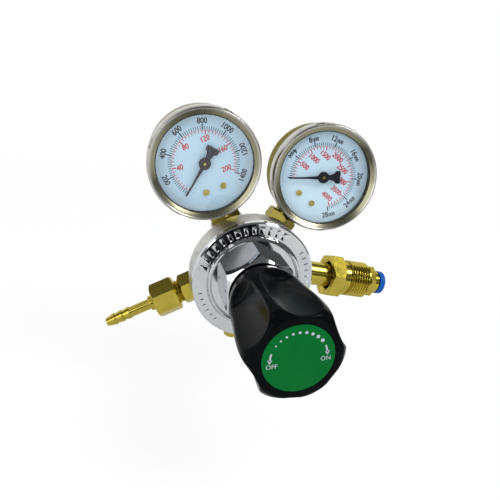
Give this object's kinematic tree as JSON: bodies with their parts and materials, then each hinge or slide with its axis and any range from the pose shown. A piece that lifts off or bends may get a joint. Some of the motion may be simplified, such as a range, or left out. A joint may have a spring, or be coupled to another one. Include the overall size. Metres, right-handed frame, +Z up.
{
  "type": "gas pressure regulator with two gauges",
  "caption": "Single-stage gas pressure regulator with a fluted adjusting knob, dial gauges on angled stems, a threaded inlet nut and a barbed hose outlet.",
  "frame": {"origin": "centre of the inlet nipple's tip, where it seats in the cylinder valve", "axes": "+X towards the inlet side, +Y from the knob towards the back of the body, parallel to the body axis, +Z up between the gauges; the inlet points 4 degrees below +X"},
  "size_m": [0.1751, 0.1217, 0.1415],
  "materials": {
    "brass": "turned, satin",
    "nickel": "satin nickel plate",
    "chrome": "bright chrome plate",
    "steel": "plain",
    "rubber": "matt",
    "black_plastic": "satin gloss",
    "label": "printed film",
    "sintered": "sintered, rough",
    "blue_plastic": "satin",
    "low_case": "satin plate",
    "high_case": "satin plate",
    "bezel": "satin plate",
    "glass": "clear",
    "dial": "satin print",
    "black_paint": "matt paint",
    "bronze": "drawn tube"
  },
  "bodies": {
    "body": {"regulator_body": "nickel", "bonnet": "chrome", "rear_plug": "brass", "diaphragm": "rubber", "nozzle": "brass", "valve_spring": "steel", "range_spring": "steel", "inlet_nipple": "brass", "inlet_filter": "sintered", "outlet_adapter": "brass", "hose_barb": "brass", "relief_body": "brass", "relief_spring": "steel", "relief_cap": "brass", "low_socket": "brass", "low_case": "low_case", "low_bezel": "bezel", "low_lens": "glass", "low_gasket": "rubber", "low_dial": "dial", "low_dial_screws": "brass", "low_movement": "brass", "low_bourdon_tube": "bronze", "low_link": "steel", "high_socket": "brass", "high_case": "high_case", "high_bezel": "bezel", "high_lens": "glass", "high_gasket": "rubber", "high_dial": "dial", "high_dial_screws": "brass", "high_movement": "brass", "high_bourdon_tube": "bronze", "high_link": "steel"},
    "valve_train": {"diaphragm_plate": "steel", "valve_poppet": "brass"},
    "spring_carrier": {"spring_button": "steel", "button_ball": "steel"},
    "knob_assembly": {"knob": "black_plastic", "knob_label": "label", "adjusting_screw": "steel"},
    "inlet_nut": {"inlet_nut": "brass"},
    "inlet_cap": {"inlet_cap": "blue_plastic"},
    "outlet_nut": {"outlet_nut": "brass"},
    "relief_poppet": {"relief_poppet": "brass"},
    "low_pointer": {"low_pointer": "black_paint", "low_pinion": "brass"},
    "low_sector": {"low_sector": "brass"},
    "high_pointer": {"high_pointer": "black_paint", "high_pinion": "brass"},
    "high_sector": {"high_sector": "brass"}
  },
  "joints": [
    {"name": "screw_feed", "type": "slide", "parent": "body", "child": "spring_carrier", "axis": [0, 1, 0], "range_m": [-0.0075, 0.00075], "deforming": ["range_spring"]},
    {"name": "knob_turn", "type": "hinge", "parent": "spring_carrier", "child": "knob_assembly", "pos_m": [-0.09487, 0, 0.00663], "axis": [0, 1, 0], "range_deg": [-1802, 182]},
    {"name": "valve_open", "type": "slide", "parent": "body", "child": "valve_train", "axis": [0, 1, 0], "range_m": [0, 0.0008], "stiffness_N_per_m": 600, "springref_m": -0.001, "deforming": ["diaphragm", "valve_spring"]},
    {"name": "inlet_nut_spin", "type": "hinge", "parent": "body", "child": "inlet_nut", "pos_m": [-0.03501, 0, 0.00245], "axis": [0.9976, 0, -0.0698], "continuous": true},
    {"name": "inlet_cap_pull", "type": "slide", "parent": "body", "child": "inlet_cap", "axis": [0.9976, 0, -0.0698], "range_m": [0, 0.012]},
    {"name": "outlet_nut_spin", "type": "hinge", "parent": "body", "child": "outlet_nut", "pos_m": [-0.13817, 0, -0.01837], "axis": [-0.866, 0, -0.5], "continuous": true},
    {"name": "relief_open", "type": "slide", "parent": "body", "child": "relief_poppet", "axis": [0, 0, -1], "range_m": [0, 0.0015], "stiffness_N_per_m": 400, "springref_m": -0.0005, "deforming": ["relief_spring"]},
    {"name": "low_pointer_turn", "type": "hinge", "parent": "body", "child": "low_pointer", "pos_m": [-0.12962, 0, 0.06682], "axis": [0.0257, 0.9996, 0.0148], "range_deg": [0, 258], "stiffness_Nm_per_rad": 0.00002, "springref_deg": -5.73},
    {"name": "low_sector_turn", "type": "hinge", "parent": "body", "child": "low_sector", "pos_m": [-0.13532, 0.00033, 0.05459], "axis": [0.0257, 0.9996, 0.0148], "range_deg": [-33, 0.5], "deforming": ["low_bourdon_tube", "low_link"]},
    {"name": "high_pointer_turn", "type": "hinge", "parent": "body", "child": "high_pointer", "pos_m": [-0.06012, 0, 0.06682], "axis": [0.0995, 0.9934, -0.0575], "range_deg": [0, 258], "stiffness_Nm_per_rad": 0.00002, "springref_deg": -5.73},
    {"name": "high_sector_turn", "type": "hinge", "parent": "body", "child": "high_sector", "pos_m": [-0.0735, 0.00127, 0.06561], "axis": [0.0995, 0.9934, -0.0575], "range_deg": [-33, 0.5], "deforming": ["high_bourdon_tube", "high_link"]}
  ],
  "couplings": [
    {"joint": "knob_turn", "follows": "screw_feed", "rad_per_m": 4188.8},
    {"joint": "low_sector_turn", "follows": "low_pointer_turn", "ratio": -0.125},
    {"joint": "high_sector_turn", "follows": "high_pointer_turn", "ratio": -0.125}
  ]
}
